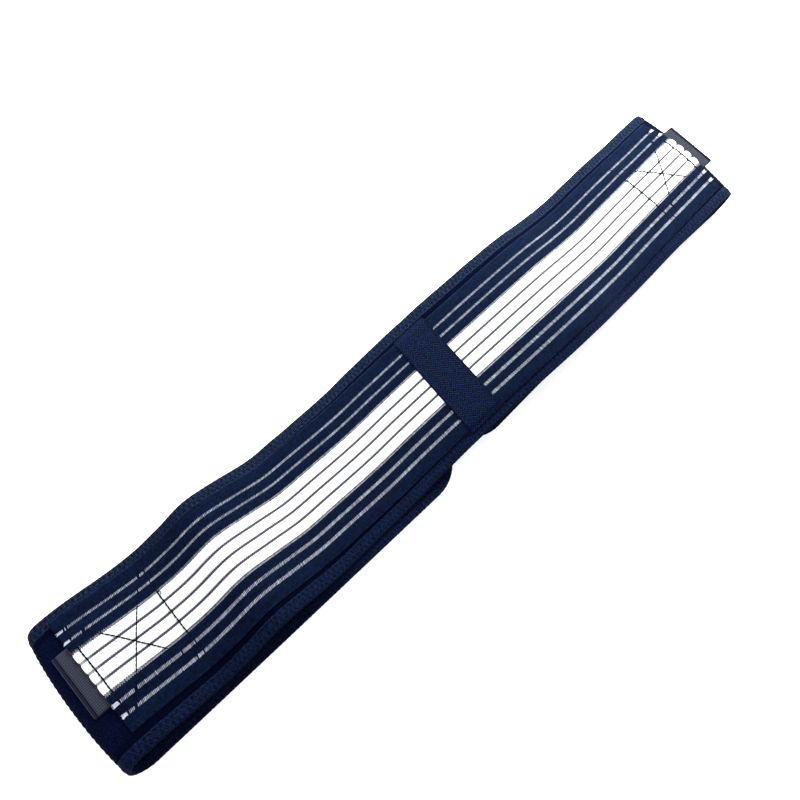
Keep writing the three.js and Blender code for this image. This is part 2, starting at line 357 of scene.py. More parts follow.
def belt_frames(inset):
    """Frames from the left tip round both folds to the right tip, and the half width at each one."""
    left, left_half = flap_frames(LEFT_TIP, LEFT_CENTRE, LEFT_FLAP, math.pi, inset)
    right, right_half = flap_frames(RIGHT_TIP, RIGHT_CENTRE, RIGHT_FLAP, -math.pi, inset)
    left_fold = fold_frames(LEFT_CENTRE, LEFT_RADIUS, math.pi, LEFT_FLAP.under, LEFT_FLAP.fold)
    right_fold = fold_frames(RIGHT_CENTRE, RIGHT_RADIUS, 0.0, RIGHT_FLAP.fold, RIGHT_FLAP.under)
    upper_steps = round((RIGHT_CENTRE - LEFT_CENTRE) / UPPER_STEP)
    upper = upper_frames(np.linspace(LEFT_CENTRE, RIGHT_CENTRE, upper_steps, endpoint=False))
    right = Frames(*(values[::-1] for values in right))
    parts = (left, left_fold, upper, right_fold, right)
    frames = Frames(*(np.concatenate(values) for values in zip(*parts)))
    middle = np.full(2 * FOLD_STEPS + upper_steps, HALF_BELT - inset)
    return frames, np.concatenate([left_half, middle, right_half[::-1]])


def near_folds(x):
    """How near a place is to the left and to the right fold, from 0 to 1."""
    return 1 - smooth(x - LEFT_CENTRE, 0.0, SWAY_FADE), 1 - smooth(RIGHT_CENTRE - x, 0.0, SWAY_FADE)


def bowed(x, across):
    """How far a place shifts along because the folds are bowed."""
    left, right = near_folds(x)
    from_middle = np.abs(across) / HALF_BELT
    left_bow = LEFT_FOLD.bow * from_middle**LEFT_FOLD.curve
    right_bow = RIGHT_FOLD.bow * from_middle**RIGHT_FOLD.curve
    return left * left_bow + right * right_bow


def askew(x, across):
    """How far a place shifts along because the folds lie askew."""
    left, right = near_folds(x)
    return (left * LEFT_FOLD.slant + right * RIGHT_FOLD.slant) * across


def drape(frames, across):
    """How the upper layer's edges droop and wave a little."""
    upper_share = (1 + np.cos(frames.turn)) / 2
    edge_share = (across / HALF_BELT) ** EDGE_CURVE
    wave = -EDGE_DROOP
    for length, height, phase in EDGE_RIPPLES:
        wave = wave + height * np.sin(math.tau * frames.x / length + phase * np.sign(across))
    return upper_share * edge_share * wave


def place(frames, across, above):
    """Points on the sheet, for stations in the first direction and places across in the second."""
    above = above + drape(frames, across)
    x = frames.x + askew(frames.x, across) + bowed(frames.x, across) - np.sin(frames.turn) * above
    y = frames.aside + across
    z = frames.z + np.cos(frames.turn) * above
    return np.stack(np.broadcast_arrays(x, y, z), axis=-1)


def add_object(name, data):
    made = bpy.data.objects.new(name, data)
    bpy.context.scene.collection.objects.link(made)
    return made


def make_object(name, corners, face_sets, cloth, material):
    """An object from corners in millimetres. cloth holds the weave's own coordinates at each corner."""
    mesh = bpy.data.meshes.new(name)
    faces = [face for faces in face_sets for face in faces.tolist()]
    mesh.from_pydata((corners * MM).tolist(), [], faces, shade_flat=False)
    mesh.set_sharp_from_angle(angle=math.radians(SHARP_ANGLE))
    weave = mesh.attributes.new("cloth", "FLOAT_VECTOR", "POINT")
    weave.data.foreach_set("vector", cloth.astype(np.float32).ravel())
    mesh.materials.append(material)
    return add_object(name, mesh)


def quads_between(grid):
    """Faces between the corners of a grid, or of many grids at once."""
    corners = [grid[..., :-1, :-1], grid[..., 1:, :-1], grid[..., 1:, 1:], grid[..., :-1, 1:]]
    return np.stack(corners, axis=-1).reshape(-1, 4)


def make_sheet(name, top, bottom, cloth, material):
    """A closed sheet between two grids of points."""
    grid = np.arange(top.shape[0] * top.shape[1]).reshape(top.shape[:2])
    under = grid + grid.size
    rim = np.concatenate([grid[0, :], grid[1:, -1], grid[-1, -2::-1], grid[-2:0:-1, 0]])
    after = np.roll(rim, -1)
    sides = np.stack([rim, after, after + grid.size, rim + grid.size], axis=-1)
    face_sets = (quads_between(grid), quads_between(under)[:, ::-1], sides)
    corners = np.concatenate([top.reshape(-1, 3), bottom.reshape(-1, 3)])
    cloth = np.concatenate([cloth.reshape(-1, 3)] * 2)
    return make_object(name, corners, face_sets, cloth, material)


def make_ring(name, points, cloth, material):
    """A closed tube along a closed line, from a section at each station."""
    grid = np.arange(points.shape[0] * points.shape[1]).reshape(points.shape[:2])
    grid = np.concatenate([grid, grid[:1]], axis=0)
    grid = np.concatenate([grid, grid[:, :1]], axis=1)
    faces = quads_between(grid)
    return make_object(name, points.reshape(-1, 3), (faces,), cloth.reshape(-1, 3), material)


def make_threads(name, paths, normals, radius, material, light=0.0):
    """One closed tube for each path. paths and normals hold paths, then points, then coordinates.

    radius and light are one number, or one for each path.
    """
    ahead = np.gradient(paths, axis=1)
    ahead /= np.linalg.norm(ahead, axis=-1, keepdims=True)
    aside = np.cross(ahead, normals)
    aside /= np.linalg.norm(aside, axis=-1, keepdims=True)
    outward = np.cross(aside, ahead)
    angle = math.tau * np.arange(THREAD_SIDES) / THREAD_SIDES
    count, steps = paths.shape[:2]
    taper = np.ones(steps)
    taper[[0, -1]] = THREAD_TAPER
    reach = (np.reshape(radius, (-1, 1)) * taper)[:, :, None, None]
    spokes = aside[:, :, None] * np.cos(angle)[:, None] + outward[:, :, None] * np.sin(angle)[:, None]
    corners = paths[:, :, None] + spokes * reach
    grid = np.arange(corners.size // 3).reshape(count, steps, THREAD_SIDES)
    closed = np.concatenate([grid, grid[:, :, :1]], axis=2)
    walls = quads_between(closed.swapaxes(1, 2))
    face_sets = (walls, grid[:, 0, ::-1], grid[:, -1, :])
    run = np.linspace(0.0, STITCH_LENGTH, steps)
    cloth = np.zeros(corners.shape)
    cloth[..., 0] = run[None, :, None]
    cloth[..., 1] = angle[None, None, :]
    cloth[..., 2] = np.reshape(light, (-1, 1, 1))
    return make_object(name, corners.reshape(-1, 3), face_sets, cloth.reshape(-1, 3), material)


# Materials

FABRIC_DARK = (0.0004, 0.0009, 0.0062)
FABRIC_LIGHT = (0.0031, 0.0060, 0.0330)
BINDING_DARK = (0.0009, 0.0020, 0.0079)
BINDING_LIGHT = (0.0132, 0.0217, 0.0575)
# Painted shade on the border's -Y edge: its colour is scaled by this darker, bluer tint
LOW_EDGE_SHADE_TINT = (0.37, 0.52, 0.78)
# Painted shade in the border's needle holes and along the zigzag's pressed channel
BINDING_RECESS_SHADE = (0.0004, 0.0008, 0.0040)
BINDING_THREAD = (0.0026, 0.0056, 0.0230)
KEEPER_DARK = (0.0002, 0.0005, 0.0040)
KEEPER_LIGHT = (0.0052, 0.0106, 0.0420)
TAB_DARK = (0.0055, 0.0062, 0.0130)
# The two tabs are lit and shaded copies of one webbing: the left one's light colour is raised by painted
# light, the right one's lowered by painted shade
LEFT_TAB_PAINTED_LIT = (0.043, 0.042, 0.068)
RIGHT_TAB_PAINTED_SHADE = (0.025, 0.026, 0.043)
TAB_HEM = (0.0030, 0.0040, 0.0140)
THREAD_BLACK = (0.0008, 0.0012, 0.0048)
STRAP_WHITE = (0.68, 0.675, 0.685)
STRAP_LINE = (0.054, 0.047, 0.068)
STRAP_PIPING = (0.150, 0.147, 0.190)
STRAP_NAVY = (0.0013, 0.0034, 0.0145)
# Painted highlight along the strap's edge
STRAP_EDGE_HIGHLIGHT = (0.0050, 0.0090, 0.0300)
YARN_GREY = (0.100, 0.104, 0.150)
YARN_LIGHT = (0.440, 0.445, 0.550)
SHEEN_TINT = (0.45, 0.60, 1.0, 1.0)
SHEEN_ROUGHNESS = 0.45
FLOOR_WHITE = (0.55, 0.55, 0.55, 1.0)
FLOOR_GLOW = 0.66
PLAIN_WHITE = (1.0, 1.0, 1.0, 1.0)

# Weave: sizes in millimetres, twists in radians for each millimetre, streak and the painted highlight on
# a thread's crown as factors
BINDING_KNIT = (0.85, 0.95)
STRAP_KNIT = (0.7, 0.97)
STRAP_TOOTH_PITCH = 1.25
LINE_HALF = 0.78
LINE_BLUR = 0.16
STRAP_STREAK = (1.3, 0.05, 0.0)
KEEPER_COLUMN_WIDTH = 3.5
KEEPER_RIDGE_PITCH = 1.9
KEEPER_RIDGE_SLOPE = 1.1
TAB_YARN_PITCH = 1.3
YARN_TWIST = 7.0
THREAD_TWIST = 9.0
STRAND_ANGLE = math.tau / 3
THREAD_CROWN_HIGHLIGHT = 2.2


class Look:
    """A material being put together from nodes."""

    def __init__(self, name, roughness, sheen, gloss):
        self.material = bpy.data.materials.new(name)
        self.material.use_nodes = True
        self.tree = self.material.node_tree
        self.tree.nodes.clear()
        inputs = {
            "Roughness": roughness,
            "Specular IOR Level": gloss,
            "Sheen Weight": sheen,
            "Sheen Roughness": SHEEN_ROUGHNESS,
            "Sheen Tint": SHEEN_TINT,
        }
        self.surface = self.add("BsdfPrincipled", inputs)
        output = self.add("OutputMaterial")
        self.tree.links.new(self.surface.outputs["BSDF"], output.inputs["Surface"])

    def add(self, kind, inputs=None, **settings):
        node = self.tree.nodes.new("ShaderNode" + kind)
        for name, value in settings.items():
            setattr(node, name, value)
        for name, value in (inputs or {}).items():
            self.feed(node.inputs[name], value)
        return node

    def feed(self, socket, value):
        if isinstance(value, bpy.types.NodeSocket):
            self.tree.links.new(value, socket)
        else:
            socket.default_value = value

    def cloth(self):
        """The weave's own coordinates, as one vector and as its three parts."""
        vector = self.add("Attribute", attribute_name="cloth").outputs["Vector"]
        parts = self.add("SeparateXYZ", {"Vector": vector}).outputs
        return vector, parts["X"], parts["Y"], parts["Z"]

    def calc(self, operation, *values):
        return self.add("Math", dict(enumerate(values)), operation=operation).outputs[0]

    def times(self, first, second):
        return self.calc("MULTIPLY", first, second)

    def times_plus(self, first, second, third):
        return self.calc("MULTIPLY_ADD", first, second, third)

    def step(self, value, low, high, to_low=0.0, to_high=1.0):
        """A soft step between two results, for a value between low and high."""
        inputs = {"Value": value, "From Min": low, "From Max": high, "To Min": to_low, "To Max": to_high}
        return self.add("MapRange", inputs, interpolation_type="SMOOTHSTEP").outputs["Result"]

    def noise(self, vector, scale, detail=2.0):
        inputs = {"Vector": vector, "Scale": scale, "Detail": detail}
        return self.add("TexNoise", inputs).outputs["Fac"]

    def wave(self, value, pitch):
        """A smooth wave from 0 to 1 that repeats at the pitch."""
        turn = self.times(value, math.tau / pitch)
        return self.times_plus(self.calc("SINE", turn), 0.5, 0.5)

    def knit(self, along, across, pitches):
        """Rows of knitted loops."""
        return self.times(self.wave(along, pitches[0]), self.wave(across, pitches[1]))

    def twist(self, run, round_it, turns):
        """Strands wound round a thread."""
        return self.wave(self.times_plus(run, turns, round_it), STRAND_ANGLE)

    def scaled(self, vector, factors):
        return self.add("VectorMath", {0: vector, 1: factors}, operation="MULTIPLY").outputs["Vector"]

    def blend(self, share, first, second):
        node = self.add("Mix", data_type="RGBA")
        self.feed(node.inputs["Factor"], share)
        colours = [socket for socket in node.inputs if socket.type == "RGBA"]
        for socket, colour in zip(colours, (first, second)):
            self.feed(socket, colour if isinstance(colour, bpy.types.NodeSocket) else (*colour, 1.0))
        return next(socket for socket in node.outputs if socket.type == "RGBA")

    def shaded(self, colour, shade):
        inputs = {0: colour, "Scale": shade}
        return self.add("VectorMath", inputs, operation="SCALE").outputs["Vector"]

    def finish(self, colour, height, depth, strength):
        bump = self.add("Bump", {"Height": height, "Distance": depth * MM, "Strength": strength})
        self.feed(self.surface.inputs["Normal"], bump.outputs["Normal"])
        self.feed(self.surface.inputs["Base Color"], colour)
        return self.material


def pile_material():
    """Mottled pile in tufts, with painted shade darkening its rim beside the border."""
    look = Look("belt fabric", roughness=0.95, sheen=0.01, gloss=0.01)
    vector, across, _, _ = look.cloth()
    tufts = look.noise(vector, scale=1.1, detail=3.0)
    fibres = look.noise(vector, scale=4.5)
    mottle = look.noise(vector, scale=0.12)
    crowns = look.step(tufts, 0.35, 0.75)
    share = look.times(crowns, look.step(mottle, 0.2, 0.7, 0.5, 1.0))
    from_middle = look.calc("ABSOLUTE", across)
    # Painted shade: the pile darkens towards the border
    painted_rim_shade = look.step(from_middle, PILE_SHADE_RIM - PILE_SHADE_RIM_FADE, PILE_SHADE_RIM, 1.0, 0.2)
    colour = look.blend(look.times(share, painted_rim_shade), FABRIC_DARK, FABRIC_LIGHT)
    height = look.times_plus(fibres, 0.5, tufts)
    return look.finish(colour, height, depth=0.5, strength=0.9)


def binding_material():
    """Knitted tape, with painted shade at its edge, in the needle holes and where the zigzag presses it
    in.

    The third coordinate is a hole's depth. The second one is below zero along the -Y edge, which gets
    painted shade: darker and bluer there, less so near the right fold.
    """
    look = Look("binding tape", roughness=0.8, sheen=0.02, gloss=0.03)
    vector, along, inset, hole = look.cloth()
    knit = look.knit(along, inset, BINDING_KNIT)
    tufts = look.noise(vector, scale=0.85, detail=4.0)
    fibres = look.noise(vector, scale=3.5)
    share = look.times_plus(knit, 0.25, look.step(tufts, 0.34, 0.70, 0.0, 0.85))
    colour = look.blend(share, BINDING_DARK, BINDING_LIGHT)
    # Painted shade in the needle holes
    colour = look.blend(look.step(hole, 0.06, 0.24, 0.0, 0.9), colour, BINDING_RECESS_SHADE)
    from_edge = look.calc("SUBTRACT", look.calc("ABSOLUTE", inset), SHADE_SIDE_OFFSET)
    swing = look.calc("PINGPONG", along, ZIGZAG_PITCH / 2)
    row = look.times_plus(swing, -ZIGZAG_SLOPE, ZIGZAG_INNER)
    beside = look.calc("ABSOLUTE", look.calc("SUBTRACT", from_edge, row))
    # Painted shadow along the channel that the zigzag presses in
    colour = look.blend(look.step(beside, 0.4, 1.5, 0.75, 0.0), colour, BINDING_RECESS_SHADE)
    # Painted shade along the border's rolled outer edge
    colour = look.blend(look.step(from_edge, 0.3, 1.8, 0.6, 0.0), colour, BINDING_DARK)
    right_fold = ring_lengths()[-1] / 2 + RIGHT_CENTRE - RIGHT_TIP + math.pi * RIGHT_RADIUS
    # Painted shade on the -Y edge: half as strong up to the right fold, full past it
    low_edge_shade = look.step(along, right_fold, right_fold + LOW_EDGE_SHADE_FADE, 0.5, 1.0)
    painted_shade_colour = look.scaled(colour, LOW_EDGE_SHADE_TINT)
    colour = look.blend(look.step(inset, -SHADE_SIDE_OFFSET, SHADE_SIDE_OFFSET, low_edge_shade, 0.0), colour, painted_shade_colour)
    height = look.times_plus(knit, 0.5, look.times_plus(fibres, 0.4, tufts))
    return look.finish(colour, height, depth=0.35, strength=0.8)


def strap_material():
    """Bands across the strap, toothed by a fine cross weave.

    The third coordinate is how far the cut end is.
    """
    look = Look("striped elastic", roughness=0.8, sheen=0.01, gloss=0.02)
    vector, across, along, from_end = look.cloth()
    from_middle = look.calc("ABSOLUTE", across)
    in_dark = look.step(from_middle, WHITE_HALF - 1.6, WHITE_HALF - 0.2)
    fibres = look.noise(vector, scale=2.6, detail=3.0)
    uneven = look.times_plus(fibres, 0.5, -0.4)
    teeth = look.times_plus(look.wave(along, STRAP_TOOTH_PITCH), 0.30, uneven)
    frayed = look.times(in_dark, look.step(from_end, 8.0, 36.0, 2.5, 0.0))
    toothed = look.times_plus(teeth, look.calc("ADD", frayed, 1.0), from_middle)
    colour = strap_bands(look, look.calc("DIVIDE", toothed, HALF_STRAP))
    at_cut = look.step(from_end, 2.0, 8.0, 0.3, 0.0)
    worn = look.times(at_cut, look.step(in_dark, 0.0, 0.4, 1.0, 0.0))
    colour = look.blend(worn, colour, STRAP_WHITE)
    knit = look.knit(along, across, STRAP_KNIT)
    streaks = look.noise(look.scaled(vector, STRAP_STREAK), scale=1.0, detail=3.0)
    heather = look.noise(vector, scale=0.55, detail=3.0)
    grain = look.calc("ADD", look.times(heather, 0.9), look.times(streaks, 0.5))
    weave = look.times_plus(knit, 0.35, grain)
    in_navy = look.step(weave, 0.45, 1.10, 0.20, 1.85)
    in_white = look.step(weave, 0.45, 1.10, 0.94, 1.04)
    shade = look.times_plus(in_dark, look.calc("SUBTRACT", in_navy, in_white), in_white)
    height = look.times_plus(knit, 0.8, fibres)
    return look.finish(look.shaded(colour, shade), height, depth=0.22, strength=0.7)


def strap_bands(look, share):
    """The strap's bands of colour from its middle to its edge."""
    # Columns: distance from the strap's middle, colour there
    bands = (
        (LINE_HALF, STRAP_LINE),
        (LINE_HALF + LINE_BLUR, STRAP_WHITE),
        (STRIPE_PITCH - LINE_HALF - LINE_BLUR, STRAP_WHITE),
        (STRIPE_PITCH - LINE_HALF, STRAP_LINE),
        (STRIPE_PITCH + LINE_HALF, STRAP_LINE),
        (STRIPE_PITCH + LINE_HALF + LINE_BLUR, STRAP_WHITE),
        (WHITE_HALF - 0.9, STRAP_WHITE),
        (WHITE_HALF - 0.7, STRAP_LINE),
        (WHITE_HALF - 0.2, STRAP_LINE),
        (WHITE_HALF + 0.1, STRAP_PIPING),
        (WHITE_HALF + 0.6, STRAP_PIPING),
        (WHITE_HALF + 0.9, STRAP_NAVY),
        (HALF_STRAP - 1.0, STRAP_NAVY),
        # Painted highlight along the strap's edge
        (HALF_STRAP - 0.5, STRAP_EDGE_HIGHLIGHT),
    )
    ramp = look.add("ValToRGB", {"Fac": share})
    stops = ramp.color_ramp.elements
    while len(stops) < len(bands):
        stops.new(1.0)
    for stop, (at, colour) in zip(stops, bands):
        stop.position = at / HALF_STRAP
        stop.color = (*colour, 1.0)
    return ramp.outputs["Color"]


def yarn_material():
    """Slanting floats of the grey stripes. The third coordinate is how light each float is."""
    look = Look("stripe yarn", roughness=0.7, sheen=0.02, gloss=0.08)
    _, run, round_it, light = look.cloth()
    twist = look.twist(run, round_it, YARN_TWIST)
    # The crowns of the twist are a little lighter: a painted highlight
    share = look.times_plus(twist, 0.15, light)
    colour = look.blend(share, YARN_GREY, YARN_LIGHT)
    return look.finish(colour, twist, depth=0.08, strength=0.6)


def keeper_material():
    """Herringbone: slanting ridges that turn back at each column, with painted shade along the long
    edges.
    """
    look = Look("keeper tape", roughness=0.7, sheen=0.01, gloss=0.02)
    vector, width, length, _ = look.cloth()
    column = look.calc("PINGPONG", width, KEEPER_COLUMN_WIDTH)
    slanting = look.calc("ADD", length, look.times(column, KEEPER_RIDGE_SLOPE))
    ridge = look.wave(slanting, KEEPER_RIDGE_PITCH)
    fibres = look.noise(vector, scale=0.8, detail=4.0)
    share = look.times(ridge, look.step(fibres, 0.34, 0.64, 0.15, 1.3))
    from_edge = look.calc("SUBTRACT", HALF_KEEPER, look.calc("ABSOLUTE", width))
    # Painted shade: thin dark lines along the keeper's long edges
    share = look.times(share, look.step(from_edge, 0.7, 1.5, 0.4, 1.0))
    colour = look.blend(share, KEEPER_DARK, KEEPER_LIGHT)
    height = look.times_plus(fibres, 0.3, ridge)
    return look.finish(colour, height, depth=0.2, strength=0.8)


def tab_material(name, light):
    """Webbing with a dark hem. The first coordinate is how far the outer end is, the third the ribs."""
    look = Look(name, roughness=0.75, sheen=0.02, gloss=0.05)
    vector, from_outer, across, rib = look.cloth()
    fibres = look.noise(vector, scale=3.0, detail=3.0)
    yarn = look.wave(across, TAB_YARN_PITCH)
    grid = look.times_plus(yarn, 0.6, look.times(rib, 0.4))
    share = look.times(grid, look.step(fibres, 0.25, 0.7, 0.6, 1.2))
    colour = look.blend(share, TAB_DARK, light)
    hem_end = look.step(from_outer, 1.9, 2.4, 1.0, 0.0)
    # The outermost tenths of a millimetre keep the lighter webbing colour: a painted highlight along the
    # hemmed edge
    hem = look.times(look.step(from_outer, 0.1, 0.5), hem_end)
    colour = look.blend(look.times(hem, 0.9), colour, TAB_HEM)
    height = look.times_plus(yarn, 0.4, fibres)
    return look.finish(colour, height, depth=0.15, strength=0.6)


def thread_material(name, dark):
    """Twisted thread, with a painted highlight on the crown of each twist."""
    look = Look(name, roughness=0.7, sheen=0.0, gloss=0.02)
    _, run, round_it, _ = look.cloth()
    twist = look.twist(run, round_it, THREAD_TWIST)
    # Painted highlight: the crown of each twist is lighter
    colour = look.blend(twist, dark, tuple(THREAD_CROWN_HIGHLIGHT * part for part in dark))
    return look.finish(colour, twist, depth=0.06, strength=0.6)


def floor_material():
    """A plain floor with a little light of its own, so that shadows on it stay faint."""
    look = Look("floor", roughness=0.9, sheen=0.0, gloss=0.10)
    look.surface.inputs["Base Color"].default_value = FLOOR_WHITE
    look.surface.inputs["Emission Color"].default_value = PLAIN_WHITE
    look.surface.inputs["Emission Strength"].default_value = FLOOR_GLOW
    return look.material


# Belt panel

# Edge of the panel, inside the border. Columns: inset, height above the middle
PANEL_EDGE = (
    (1.2, 0.55),
    (7.7, 0.55),
    (8.5, 1.15),
)


def panel_section():
    """Columns: inset of the line, share of its half width, height above the middle."""
    field_half = HALF_BELT - FIELD_INSET
    share = np.linspace(-1.0, 1.0, 2 * round(field_half / PILE_STEP) + 1)
    rib = 0.5 + 0.5 * np.cos(math.tau * share * field_half / PILE_RIB_PITCH)
    field = [(FIELD_INSET, at, HALF_PANEL - PILE_RIB_DEPTH * (1 - up)) for at, up in zip(share, rib)]
    left = [(inset, -1.0, height) for inset, height in PANEL_EDGE]
    right = [(inset, 1.0, height) for inset, height in reversed(PANEL_EDGE)]
    return left + field + right


def make_panel(material):
    """The padded panel from tip to tip, with ribs of pile on both faces."""
    top, bottom, cloth = [], [], []
    for inset, share, height in panel_section():
        frames, half = belt_frames(inset)
        top.append(place(frames, share * half, height))
        bottom.append(place(frames, share * half, -height))
        run = np.arange(len(half)) * UPPER_STEP
        cloth.append(np.stack([share * half, run, np.zeros(len(half))], axis=-1))
    grids = (np.stack(rows, axis=1) for rows in (top, bottom, cloth))
    return make_sheet("belt_panel", *grids, material)


# Border binding

# Outer section of the border. Columns: inset, height above the middle
BORDER_SECTION = (
    (8.3, 0.95),
    (8.1, 1.25),
    (7.4, 1.40),
    (6.4, 1.36),
    (5.4, 1.42),
    (4.4, 1.44),
    (3.4, 1.42),
    (2.4, 1.36),
    (1.5, 1.34),
    (0.8, 1.18),
    (0.3, 0.85),
    (0.05, 0.42),
    (0.0, 0.0),
)


def ring_line(inset, above, pulled_in=0.0):
    """A line round the whole belt at one inset: along one edge and back along the other."""
    frames, half = belt_frames(inset)
    frames = Frames(*(np.concatenate([values, values[::-1]]) for values in frames))
    across = np.concatenate([half, -half[::-1]])
    return place(frames, across - np.sign(across) * pulled_in, above)


def ring_lengths():
    """Distance round the border at each station, scaled so that whole stitches fit."""
    line = ring_line(ZIGZAG_MIDDLE, 0.0)
    steps = np.linalg.norm(np.diff(line, axis=0, append=line[:1]), axis=1)
    whole = steps.sum()
    scale = round(whole / ZIGZAG_PITCH) * ZIGZAG_PITCH / whole
    return np.concatenate([[0.0], np.cumsum(steps)]) * scale


def dimple(run, inset):
    """How deep the zigzag's needle holes pull the border in."""
    depth = 0.0
    for hole, shift in ((ZIGZAG_INNER, 0.0), (ZIGZAG_OUTER, 0.5)):
        phase = (run / ZIGZAG_PITCH + shift + 0.5) % 1.0 - 0.5
        away = (phase * ZIGZAG_PITCH) ** 2 + (inset - hole) ** 2
        depth = depth + DIMPLE_DEPTH * np.exp(-away / DIMPLE_SPREAD)
    return depth


def make_binding(material):
    """The border that wraps the panel's edge, pulled in at each needle hole."""
    run = ring_lengths()[:-1]
    upper = [(inset, height, 1) for inset, height in BORDER_SECTION]
    lower = [(inset, -height, -1) for inset, height in reversed(BORDER_SECTION[:-1])]
    inner_height = BORDER_HALF_HEIGHT - BORDER_WALL
    hidden = [(BORDER_WIDTH, -inner_height, 0), (BORDER_WALL, -inner_height, 0)]
    hidden += [(BORDER_WALL, inner_height, 0), (BORDER_WIDTH, inner_height, 0)]
    points, cloth = [], []
    for inset, height, face in upper + lower + hidden:
        pull = BORDER_SCALLOP * (1 + np.cos(math.tau * run / ZIGZAG_PITCH))
        scallop = pull * smooth(-inset, -BORDER_SCALLOP_REACH, 0.0)
        hole = dimple(run, inset)
        points.append(ring_line(inset, height - face * hole, scallop))
        # A signed offset of the inset: below zero on the -Y edge, which the material darkens with
        # painted shade
        shade_side = np.repeat([inset + SHADE_SIDE_OFFSET, -inset - SHADE_SIDE_OFFSET], len(run) // 2)
        cloth.append(np.stack([run, shade_side, hole], axis=-1))
    points, cloth = (np.stack(rows, axis=1)[::-1] for rows in (points, cloth))
    return make_ring("border_binding", points, cloth, material)


def on_ring(inset, above, run):
    """Points at one inset and height, at distances round the border."""
    lengths = ring_lengths()
    line = ring_line(inset, above)
    closed = np.concatenate([line, line[:1]])
    run = run % lengths[-1]
    return np.stack([np.interp(run, lengths, closed[:, axis]) for axis in range(3)], axis=-1)


def make_border_stitches(material):
    """Zigzag thread on both faces of the border, kept above the floor."""
    half_pitch = ZIGZAG_PITCH / 2
    count = round(ring_lengths()[-1] / half_pitch)
    start = np.arange(count) * half_pitch
    outward = start % ZIGZAG_PITCH < half_pitch / 2
    part = np.linspace(0.0, 1.0, ZIGZAG_STEPS)
    run = start[:, None] + part * half_pitch
    to_outer = np.where(outward[:, None], part, 1 - part)
    arch = ZIGZAG_ARCH * np.sin(math.pi * part) - ZIGZAG_BITE
    paths, normals = [], []
    for face in (1, -1):
        inner = on_ring(ZIGZAG_INNER, face * ZIGZAG_HEIGHT, run)
        outer = on_ring(ZIGZAG_OUTER, face * ZIGZAG_HEIGHT, run)
        normal = on_ring(ZIGZAG_MIDDLE, face, run) - on_ring(ZIGZAG_MIDDLE, 0.0, run)
        normal /= np.linalg.norm(normal, axis=-1, keepdims=True)
        line = inner + (outer - inner) * to_outer[..., None]
        paths.append(line + normal * arch[None, :, None])
        normals.append(normal)
    paths = np.concatenate(paths)
    paths[..., 2] = np.maximum(paths[..., 2], ZIGZAG_THREAD)
    return make_threads("border_stitches", paths, np.concatenate(normals), ZIGZAG_THREAD, material)


# Striped straps

def strap_profile(across):
    """Height of the strap's face above its underside, with ribs, grooves and the stripes' rails."""
    last_line = STRIPES_EACH_SIDE * STRIPE_PITCH
    line = np.clip(np.round(across / STRIPE_PITCH), -STRIPES_EACH_SIDE, STRIPES_EACH_SIDE)
    away = np.abs(across - line * STRIPE_PITCH)
    rib_half = np.where(np.abs(across) > last_line, (HALF_STRAP - last_line) / 2, STRIPE_PITCH / 2)
    crown = RIB_CROWN * np.clip(1 - ((away - rib_half) / rib_half) ** 2, 0.0, 1.0)
    groove = GROOVE_DEPTH * (1 - smooth(away, GROOVE_FLOOR, GROOVE_REACH))
    rail = RAIL_HEIGHT * hump(away, RAIL_OFFSET, RAIL_SPREAD)
    rails = np.where(np.abs(line) > 1, rail, 0.0)
    selvage = thinned(across, HALF_STRAP, STRAP_SELVAGE, STRAP_SELVAGE_DROP)
    return (STRAP_THICKNESS + crown - groove + rails) * selvage


def strap_place(strap, along, across, above):
    """Points on a strap: across from its own middle, above its underside."""
    over = strap.side * (along - strap.tab_inner)
    cut = strap.slant * across + strap.bow * (across / HALF_BELT) ** 2
    along = along + cut * smooth(over, 0.0, abs(strap.end - strap.tab_inner))
    share = (along - KEEPER_CENTRE) / (strap.end - KEEPER_CENTRE)
    across = across + mix(strap.aside_keeper, strap.aside_end, share)
    beside_tab = np.abs(across - strap.tab_aside) - HALF_TAB
    climb = smooth(over, -TAB_RAMP, -TAB_RAMP_END) * (1 - smooth(beside_tab, 0.0, TAB_SIDE_RAMP))
    return place(upper_frames(along), across, STRAP_LIFT + TAB_LIFT * climb + above)


def strap_path(strap, along, across, above):
    """Points on a strap, and the way out of its face at each one."""
    path = strap_place(strap, along, across, above)
    return path, strap_place(strap, along, across, above + 1) - path


def make_strip(name, strap, top, bottom, parts, material):
    """A sheet whose rows run outward from the keeper. On the left they are turned round to face up."""
    cloth = np.stack(np.broadcast_arrays(*parts), axis=-1)
    if strap.side < 0:
        top, bottom, cloth = top[::-1], bottom[::-1], cloth[::-1]
    return make_sheet(name, top, bottom, cloth, material)


# Columns of a strap's mesh: beside each line, on each rib as shares of the pitch, and in the margin
LINE_COLUMNS = np.array([-1.5, -1.05, -0.72, -0.4, 0.0, 0.4, 0.72, 1.05, 1.5])
RIB_COLUMNS = np.array([0.28, 0.39, 0.5, 0.61, 0.72])
MARGIN_COLUMNS = np.array([33.5, 35.0, 36.5, 38.0, 39.2, 39.8, 40.15, 40.4, HALF_STRAP])


def strap_columns():
    """Places across a strap, closer together at its lines and edges."""
    lines = np.arange(-STRIPES_EACH_SIDE, STRIPES_EACH_SIDE + 1) * STRIPE_PITCH
    beside = (lines[:, None] + LINE_COLUMNS).ravel()
    ribs = (lines[:-1, None] + RIB_COLUMNS * STRIPE_PITCH).ravel()
    return np.sort(np.concatenate([beside, ribs, MARGIN_COLUMNS, -MARGIN_COLUMNS]))


